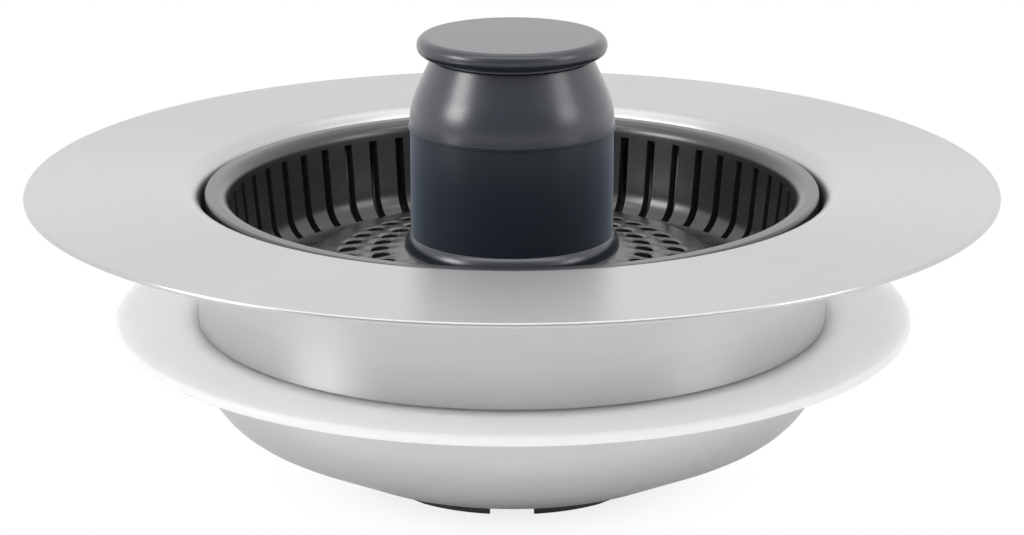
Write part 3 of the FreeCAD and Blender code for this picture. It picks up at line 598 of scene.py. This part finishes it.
PILOT_FLOOR = 6.2
WEB_POLE = 0.4
WEB_BITE = 0.3
WEB_REACH = CHIMNEY_BORE + WEB_BITE
WEB_STEPS = 64
HOLE = 1.05
HOLE_DIP = 0.17
INNER_RING = 15.44
INNER_HOLES = 36
OUTER_RING = 19.3
OUTER_HOLES = 40
FLOOR_COLUMNS = 360
INNER_HALF_CELLS = 3
OUTER_HALF_CELLS = 2.5
HOLE_BLEND = 1.5
BASKET_EDGE = 0.12
AREA_PULL = 80

corner_radius = (
    WALL_RADIUS - (WALL_TOP - CORNER_HEIGHT) * math.tan(WALL_DRAFT) - CORNER / math.cos(WALL_DRAFT))
crease_height = (
    CORNER_HEIGHT - CORNER / math.cos(OUTER_SLOPE) + (corner_radius - CREASE) * math.tan(OUTER_SLOPE))
floor_drop = THICKNESS / math.cos(INNER_SLOPE)


def polar(radius, angle, height):
    radius, angle, height = np.broadcast_arrays(radius, angle, height)
    return np.stack([radius * np.cos(angle), radius * np.sin(angle), height], -1) * MM


def slot_angles(radius, count, width, across, beside):
    """Angles of a row's columns round a ring of slots: across cells over each slot, whose edges stand half
    its width from its middle, and beside cells between one slot and the next."""
    pitch = TURN / count
    half = np.arcsin(width / 2 / radius)[:, None]
    column = np.arange(count * (across + beside))
    place = column % (across + beside)
    over = half * (2 * place / across - 1)
    between = half + (pitch - 2 * half) * (place - across) / beside
    return column // (across + beside) * pitch + np.where(place <= across, over, between)


def hole_rows(ring, count, half_cells, first):
    """Radius and angle of the rows through a ring of holes, what lies on a hole's edge or in it, and the
    cells that are open. A point (a, b) steps from a hole's middle is at square distance d = max(|a|, |b|):
    the square d = half_cells becomes the hole's circle, and the squares outside it go back to the plain grid
    over HOLE_BLEND cells."""
    pitch = FLOOR_COLUMNS // count
    column = np.arange(FLOOR_COLUMNS)
    middle = (column - first + pitch / 2) // pitch * pitch + first
    across = (column - middle)[None]
    down = np.arange(half_cells + 1, -half_cells - 1.5, -1)[:, None]
    cell = HOLE / half_cells
    square = np.maximum(np.abs(across), np.abs(down))
    circle = square / np.maximum(np.hypot(across, down), 1e-9)
    share = np.clip((half_cells + HOLE_BLEND - square) / HOLE_BLEND, 0, 1)
    degree = TURN / FLOOR_COLUMNS
    tangent = share * across * cell * circle + (1 - share) * across * degree * ring
    outward = down * cell * (share * circle + (1 - share))
    open_cells = (np.abs(down[:-1] + down[1:]) / 2 < half_cells) & (np.abs(across + 0.5) < half_cells)
    return ring + outward, middle * degree + tangent / ring, square <= half_cells, open_cells


def corner_arc(reach, *bends):
    """Points (radius, height) of the corner's round at the given angles from straight out."""
    bend = np.concatenate(bends)
    return corner_radius + reach * np.cos(bend), CORNER_HEIGHT + reach * np.sin(bend)


def make_wall_face(thickness):
    """Rows of one face of the slotted wall, from the gutter up: the corner's round, and the drafted wall
    tangent to it."""
    reach = CORNER + thickness
    end = -math.acos((SLOT_END - corner_radius) / reach)
    radius, height = corner_arc(
        reach,
        np.linspace(WALL_GUTTER, end, GUTTER_ROWS + 1)[:-1],
        np.linspace(end, -WALL_DRAFT, CORNER_ROWS))
    rise = np.linspace(height[-1], SLOT_TOP, WALL_ROWS + 1)[1:]
    radius = np.append(radius, radius[-1] + (rise - height[-1]) * math.tan(WALL_DRAFT))
    height = np.append(height, rise)
    angle = slot_angles(radius, SLOT_COUNT, SLOT_WIDTH, SLOT_COLUMNS, LAND_COLUMNS)
    return polar(radius[:, None], angle, height[:, None]), angle[-1], (radius[-1], height[-1])


def make_slotted_wall():
    """Drafted wall with its slots, closed at the top by the rolled rim."""
    outer, angle, outer_top = make_wall_face(THICKNESS)
    inner, _, inner_top = make_wall_face(0.0)
    rim = outline(
        (*outer_top, 0),
        (outer_top[0] + RIM_STEP, RIM_UNDER, CRISP),
        (BASKET_RADIUS, RIM_UNDER, RIM_UNDER_EDGE),
        (BASKET_RADIUS, RIM_TOP, RIM_EDGE),
        (WALL_RADIUS + RIM_ROUND * math.tan(WALL_DRAFT), RIM_TOP, RIM_ROUND),
        (*inner_top, 0),
        closed=False)[0][1:-1] / MM
    bridge = polar(rim[:, :1], angle, rim[:, 1:])
    solid = np.ones((len(inner) - 1, len(angle)), bool)
    solid[GUTTER_ROWS:] = np.arange(len(angle)) % (SLOT_COLUMNS + LAND_COLUMNS) >= SLOT_COLUMNS
    return PiercedWall(outer, bridge, inner, solid)


def make_coned_floor(start):
    """Gutter's inner side, steep cone, crease and flat cone with its holes, sunk a little at their edges,
    closed in the middle by the collar and the chimney."""
    plain = np.arange(FLOOR_COLUMNS) * TURN / FLOOR_COLUMNS
    inner_ring = hole_rows(INNER_RING, INNER_HOLES, INNER_HALF_CELLS, 0.0)
    outer_ring = hole_rows(OUTER_RING, OUTER_HOLES, OUTER_HALF_CELLS, FLOOR_COLUMNS / OUTER_HOLES / 2)
    between = (OUTER_RING + INNER_RING) / 2
    bend = np.linspace(FLOOR_GUTTER, -math.pi / 2 - OUTER_SLOPE, GUTTER_ROWS + 1)
    crease_steps = np.array([CREASE_WIDTH, 0.0, -CREASE_WIDTH])
    half_bend = (OUTER_SLOPE - INNER_SLOPE) / 2
    lean = (OUTER_SLOPE + INNER_SLOPE) / 2
    under_shift = THICKNESS / math.cos(half_bend) * math.sin(lean)

    def level(radius, drop):
        """Height of the flat cone or, drop below it, of its underside."""
        return crease_height + (CREASE - radius) * math.tan(INNER_SLOPE) - drop

    def face(thickness):
        shift, drop = (under_shift, floor_drop) if thickness else (0.0, 0.0)
        radius, height = corner_arc(CORNER + thickness, bend)
        edge = CREASE - shift
        edge_radius = edge + crease_steps
        edge_slope = np.where(crease_steps > 0, math.tan(OUTER_SLOPE), math.tan(INNER_SLOPE))
        edge_height = level(edge, drop) - crease_steps * edge_slope
        rows = [
            polar(radius[:, None], plain, height[:, None]),
            polar(edge_radius[:, None], plain, edge_height[:, None])]
        flat_rings = (
            outer_ring[:3],
            (np.array([[between]]), plain, 0.0),
            inner_ring[:3],
            (np.array([[COLLAR_FOOT + COLLAR_MARGIN], [COLLAR_FOOT]]), plain, 0.0))
        for rings, angles, sunk in flat_rings:
            dip = 0.0 if thickness else HOLE_DIP * sunk
            rows.append(polar(rings, angles, level(rings, drop) - dip))
        return np.concatenate(rows)

    top, under = face(0.0), face(THICKNESS)
    solid = np.ones((len(top) - 1, FLOOR_COLUMNS), bool)
    row = len(bend) + len(crease_steps)
    solid[row:row + len(outer_ring[3])] = ~outer_ring[3]
    row += len(outer_ring[0]) + 1
    solid[row:row + len(inner_ring[3])] = ~inner_ring[3]
    foot = np.array([COLLAR_FOOT, level(COLLAR_FOOT, 0)])
    head = np.array([COLLAR_TOP, SLEEVE_FOOT])
    chord = head - foot
    inward = unit(np.array([-chord[1], chord[0]])) * math.sqrt(FLARE ** 2 - chord @ chord / 4)
    centre = (foot + head) / 2 + inward
    share = np.linspace(0, 1, FLARE_ROWS + 1)[1:, None]
    flare = centre + FLARE * np.apply_along_axis(unit, 1, foot + share * chord - centre)
    chimney = outline(
        (*head, 0),
        (CHIMNEY_RADIUS, SLEEVE_FOOT, FINE),
        (CHIMNEY_RADIUS, CHIMNEY_TOP, SMALL),
        (CHIMNEY_BORE, CHIMNEY_TOP, SMALL),
        (CHIMNEY_BORE, level(CHIMNEY_BORE, floor_drop), SMALL),
        (COLLAR_FOOT, level(COLLAR_FOOT, floor_drop), 0),
        closed=False)[0][1:-1] / MM
    middle = np.concatenate([flare, chimney])
    return PiercedWall(top, polar(middle[:, :1], plain, middle[:, 1:]), under, solid, start)


def make_basket():
    """Slotted wall and perforated floor, stitched together in the gutter, with a glossier collar."""
    wall = make_slotted_wall()
    floor = make_coned_floor(len(wall.points))
    gutter = stitch(wall.second_end, wall.second_angles, floor.first_end, floor.first_angles)
    gutter += stitch(floor.second_end, floor.second_angles, wall.first_end, wall.first_angles)
    shown = wall.faces + floor.faces + gutter
    sides = wall.sides + floor.sides
    points = np.concatenate([wall.points, floor.points])
    piece = add_piece(
        "slotted_basket", points, shown + sides, FINISHES["basket_plastic"], FINISHES["knob_plastic"])
    centres = np.empty(len(piece.data.polygons) * 3)
    piece.data.polygons.foreach_get("center", centres)
    centres = centres.reshape(-1, 3) / MM
    radius = np.hypot(centres[:, 0], centres[:, 1])
    collar = (radius > CHIMNEY_RADIUS) & (radius < COLLAR_FOOT) & (centres[:, 2] > crease_height)
    piece.data.polygons.foreach_set("material_index", collar.astype(np.int32))
    soften(piece, BASKET_EDGE)
    # The large faces set the shading, so that the small cells round the holes don't ripple it
    level_shading = piece.modifiers.new("level_shading", "WEIGHTED_NORMAL")
    level_shading.mode = "FACE_AREA"
    level_shading.weight = AREA_PULL
    return dress(piece, "basket", "basket_plastic", "strainer_basket")


def make_basket_web():
    """Web across the chimney, with the boss that takes the knob's screw."""
    piece = turned(
        "basket_web", FINISHES["basket_plastic"],
        (WEB_POLE, WEB_UNDER, FINE),
        (WEB_REACH, WEB_UNDER, FINE),
        (WEB_REACH, WEB_TOP, FINE),
        (BOSS_RADIUS, WEB_TOP, SOFT),
        (BOSS_RADIUS, BOSS_TOP, SMALL),
        (PILOT, BOSS_TOP, FINE),
        (PILOT, PILOT_FLOOR, FINE),
        (WEB_POLE, PILOT_FLOOR, FINE),
        closed=False,
        steps=WEB_STEPS,
    )
    return dress(piece, "basket", "basket_plastic", "strainer_basket")


# Outlet and plunger

GASKET_EDGE = 0.15
TUBE_RADIUS = 8.1
TUBE_BORE = 6.9
TUBE_ROOT = 1.0
GUIDE_BORE = 4.05
GUIDE_HEIGHT = 6.0
PLATE = 1.6
SEAL_INSIDE = 15.6
SEAL_TOP_INSIDE = 16.4
SEAL_FOOT_ROUND = 0.4
SEAL_ROUND = 1.0
SEAL_TOP_ROUND = 0.9
PLUG_SPIGOT = 3.45
PLUG_STEPS = 96
SPRING_RADIUS = 4.1
SPRING_WIRE = 0.35
SPRING_TURNS = 6
SPRING_STEPS = 48
WIRE_STEPS = 14
SPRING_FOOT = -9.4917
SPRING_END = 0.4
CAP_UNDER = 3.5


def make_seat_gasket():
    """Flat soft ring between the bowl and the outlet's seat."""
    low, high = (corner.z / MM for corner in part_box("seat_gasket"))
    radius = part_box("seat_gasket")[1].x / MM
    piece = turned(
        "flat_gasket", FINISHES["black_rubber"],
        (OUTLET_RADIUS, low, GASKET_EDGE),
        (radius, low, SOFT),
        (radius, high, SOFT),
        (OUTLET_RADIUS, high, GASKET_EDGE),
    )
    return dress(piece, "drain_body", "black_rubber", "seat_gasket")


def make_plunger_tube():
    """Tube that carries the basket, with the stopper's plate at its foot."""
    low, high = (corner.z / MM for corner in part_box("plunger_tube"))
    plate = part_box("plunger_tube")[1].x / MM
    piece = turned(
        "press_tube", FINISHES["black_plastic"],
        (GUIDE_BORE, low, SMALL),
        (plate, low, SMALL),
        (plate, low + PLATE, SMALL),
        (TUBE_RADIUS, low + PLATE, TUBE_ROOT),
        (TUBE_RADIUS, high, SOFT),
        (TUBE_BORE, high, SMALL),
        (TUBE_BORE, low + GUIDE_HEIGHT, SMALL),
        (GUIDE_BORE, low + GUIDE_HEIGHT, SMALL),
    )
    return dress(piece, "plunger", "black_plastic", "plunger_tube")


def make_stopper_seal():
    """Soft ring with a groove round the stopper plate's edge and a rounded lip."""
    low, high = (corner.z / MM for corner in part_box("stopper_seal"))
    plate_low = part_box("plunger_tube")[0].z / MM
    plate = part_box("plunger_tube")[1].x / MM
    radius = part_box("stopper_seal")[1].x / MM
    piece = turned(
        "lip_seal", FINISHES["black_rubber"],
        (SEAL_INSIDE, low, SEAL_FOOT_ROUND),
        (radius, low, SEAL_ROUND),
        (radius, high, SEAL_TOP_ROUND),
        (SEAL_TOP_INSIDE, high, SOFT),
        (SEAL_TOP_INSIDE, plate_low + PLATE, FINE),
        (plate, plate_low + PLATE, FINE),
        (plate, plate_low, FINE),
        (SEAL_INSIDE, plate_low, FINE),
    )
    return dress(piece, "plunger", "black_rubber", "stopper_seal")


def make_plunger_cap():
    """Plug in the plunger's top, with a spigot that centres the spring."""
    low, high = (corner.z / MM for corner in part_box("plunger_cap"))
    piece = turned(
        "press_plug", FINISHES["black_plastic"],
        (POLE, low, FINE),
        (PLUG_SPIGOT, low, SOFT),
        (PLUG_SPIGOT, CAP_UNDER, FINE),
        (TUBE_BORE, CAP_UNDER, FINE),
        (TUBE_BORE, high, SOFT),
        (POLE, high, FINE),
        closed=False,
        steps=PLUG_STEPS,
    )
    return dress(piece, "plunger", "black_plastic", "plunger_cap")


def make_return_spring():
    """Round wire on a helix: at angle a its middle is (R cos a, R sin a, z rising evenly with a), and its
    skin stands one wire radius off, at angle b between the spoke and the normal of spoke and path."""
    low, high = SPRING_FOOT + SPRING_END, CAP_UNDER - SPRING_END
    rise = (high - low) / (TURN * SPRING_TURNS)
    a = np.linspace(0, TURN * SPRING_TURNS, SPRING_STEPS * SPRING_TURNS + 1)[:, None]
    b = np.arange(WIRE_STEPS) * TURN / WIRE_STEPS
    spoke = np.concatenate([np.cos(a), np.sin(a), 0 * a], 1)[:, None]
    path = np.concatenate([-SPRING_RADIUS * np.sin(a), SPRING_RADIUS * np.cos(a), rise + 0 * a], 1)[:, None]
    path = path / np.linalg.norm(path, axis=2, keepdims=True)
    normal = np.cross(path, spoke)
    middle = spoke * SPRING_RADIUS + np.array([0, 0, 1]) * (low + rise * a)[:, None]
    skin = middle + SPRING_WIRE * (spoke * np.cos(b)[None, :, None] + normal * np.sin(b)[None, :, None])
    numbers = np.arange(skin.shape[0] * skin.shape[1]).reshape(skin.shape[:2])
    faces = cells(numbers).reshape(-1, 4).tolist() + [numbers[0, ::-1].tolist(), numbers[-1].tolist()]
    piece = add_piece("coil_spring", skin * MM, faces, FINISHES["spring_steel"])
    dress(piece, "drain_body", "spring_steel", "return_spring")
    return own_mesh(piece)


make_flange_cup()
make_silicone_skirt()
make_grip_sleeve()
make_knob_body()
make_knob_cap()
make_basket()
make_basket_web()
make_seat_gasket()
make_plunger_tube()
make_stopper_seal()
make_plunger_cap()
make_return_spring()

# CAD pieces that stay, in their slots' finishes

node_slots = {part["node"]: part["material_slot"] for part in frame["record"]["subparts"]}
for name, node in frame["nodes"].items():
    node.data.materials.clear()
    node.data.materials.append(FINISHES[node_slots[name]])


# Stage, light and camera

FLOOR_LEVEL = cad_box[0].z
FLOOR_HALF = 6.0
AIM = (0.0, 0.0, -0.0103)
CAMERA_PLACE = (0.0, -0.3288, 0.0875)
CAMERA_TILT = math.radians(73.43)
CAMERA_LENS = 103.08
CAMERA_SENSOR = 36.0
ROOM_LIGHT = 1.05
FRONT_START = 0.3
FRONT_END = 0.8
FRONT_DIM = 0.4
SHOWN_FADE = (0.018, 0.046)
MIRRORED_FADE = (0.06, 0.12)


def add_math(tree, operation, first, second):
    node = tree.nodes.new("ShaderNodeMath")
    node.operation = operation
    tree.links.new(first, node.inputs[0])
    tree.links.new(second, node.inputs[1])
    return node.outputs[0]


def mirrored_rays(tree):
    """1 for rays that come from a reflection or a refraction, else 0."""
    path = tree.nodes.new("ShaderNodeLightPath")
    return add_math(tree, "MAXIMUM", path.outputs["Is Glossy Ray"], path.outputs["Is Transmission Ray"])


def shown_rays(tree):
    """1 for rays that come straight from the camera, a reflection or a refraction, else 0."""
    path = tree.nodes.new("ShaderNodeLightPath")
    return add_math(tree, "MAXIMUM", path.outputs["Is Camera Ray"], mirrored_rays(tree))


def make_floor():
    """Pale floor that keeps its shadow under the object and runs out to plain white round it."""
    finish = Finish("pale_floor", Roughness=0.9, Base_Color=(0.84, 0.84, 0.84, 1))
    distance = finish.add("ShaderNodeVectorMath", {0: finish.place()}, operation="LENGTH").outputs["Value"]

    def fade(start, end, rays):
        """0 within start of the axis to 1 beyond end, for some rays only."""
        inputs = {"Value": distance, "From Min": start, "From Max": end}
        ramp = finish.add("ShaderNodeMapRange", inputs, interpolation_type="SMOOTHSTEP").outputs[0]
        return add_math(finish.tree, "MULTIPLY", ramp, rays)

    camera_rays = finish.add("ShaderNodeLightPath").outputs["Is Camera Ray"]
    share = add_math(
        finish.tree, "ADD",
        fade(*SHOWN_FADE, camera_rays),
        fade(*MIRRORED_FADE, mirrored_rays(finish.tree)))
    glow = finish.add("ShaderNodeEmission", {"Strength": 1.0}).outputs[0]
    mix = finish.add("ShaderNodeMixShader", {0: share, 1: finish.shader.outputs[0], 2: glow}).outputs[0]
    finish.tree.links.new(mix, finish.tree.nodes["Material Output"].inputs[0])
    corners = np.array([
        (-FLOOR_HALF, -FLOOR_HALF, FLOOR_LEVEL),
        (FLOOR_HALF, -FLOOR_HALF, FLOOR_LEVEL),
        (FLOOR_HALF, FLOOR_HALF, FLOOR_LEVEL),
        (-FLOOR_HALF, FLOOR_HALF, FLOOR_LEVEL)])
    add_piece("pale_floor", corners, [(0, 1, 2, 3)], finish.material)


def make_world():
    """Soft room: even light, shown as white, and dim in reflections on the camera's side of the object."""
    world = bpy.data.worlds.new("soft_room")
    bpy.context.scene.world = world
    world.use_nodes = True
    tree = world.node_tree
    nodes, links = tree.nodes, tree.links
    way = nodes.new("ShaderNodeSeparateXYZ")
    links.new(nodes.new("ShaderNodeTexCoord").outputs["Generated"], way.inputs[0])
    front = nodes.new("ShaderNodeMapRange")
    front.interpolation_type = "SMOOTHSTEP"
    front.inputs["From Min"].default_value = -FRONT_START
    front.inputs["From Max"].default_value = -FRONT_END
    links.new(way.outputs["Y"], front.inputs["Value"])
    glossy_rays = nodes.new("ShaderNodeLightPath").outputs["Is Glossy Ray"]
    mirrored = add_math(tree, "MULTIPLY", front.outputs[0], glossy_rays)
    tone = nodes.new("ShaderNodeMapRange")
    tone.inputs["To Min"].default_value = 1.0
    tone.inputs["To Max"].default_value = FRONT_DIM
    links.new(mirrored, tone.inputs["Value"])
    lit = nodes["Background"]
    lit.inputs["Color"].default_value = (1, 1, 1, 1)
    lit.inputs["Strength"].default_value = ROOM_LIGHT
    shown = nodes.new("ShaderNodeBackground")
    shown.inputs["Color"].default_value = (1, 1, 1, 1)
    links.new(tone.outputs[0], shown.inputs["Strength"])
    mix = nodes.new("ShaderNodeMixShader")
    links.new(shown_rays(tree), mix.inputs[0])
    links.new(lit.outputs[0], mix.inputs[1])
    links.new(shown.outputs[0], mix.inputs[2])
    links.new(mix.outputs[0], nodes["World Output"].inputs[0])


def make_lamp(name, way, distance, width, height, power):
    """A soft box in the given direction from the object, turned to it."""
    light = bpy.data.lights.new(name, "AREA")
    light.shape = "RECTANGLE"
    light.size = width
    light.size_y = height
    light.energy = power
    lamp = bpy.data.objects.new(name, light)
    place = np.array(AIM) + unit(np.array(way, float)) * distance
    lamp.location = place
    lamp.rotation_euler = Vector(place - np.array(AIM)).to_track_quat("Z", "Y").to_euler()
    bpy.context.scene.collection.objects.link(lamp)


def make_camera():
    """Camera that was fitted to the photo's ellipses."""
    camera = bpy.data.cameras.new("camera")
    camera.lens = CAMERA_LENS
    camera.sensor_width = CAMERA_SENSOR
    holder = bpy.data.objects.new("camera", camera)
    holder.location = CAMERA_PLACE
    holder.rotation_euler = (CAMERA_TILT, 0, 0)
    bpy.context.scene.collection.objects.link(holder)
    bpy.context.scene.camera = holder


make_floor()
make_world()
make_lamp("left_box", (-0.87, -0.32, 0.38), distance=0.6, width=0.22, height=0.22, power=1.15)
make_lamp("right_box", (0.87, -0.32, 0.38), distance=0.6, width=0.22, height=0.22, power=0.4)
make_lamp("back_box", (0.0, 0.32, 0.95), distance=0.7, width=0.6, height=0.42, power=0.45)
make_lamp("top_box", (0.0, -0.35, 1.0), distance=0.7, width=1.2, height=0.15, power=1.5)
make_camera()
bpy.context.scene.view_settings.view_transform = "Standard"
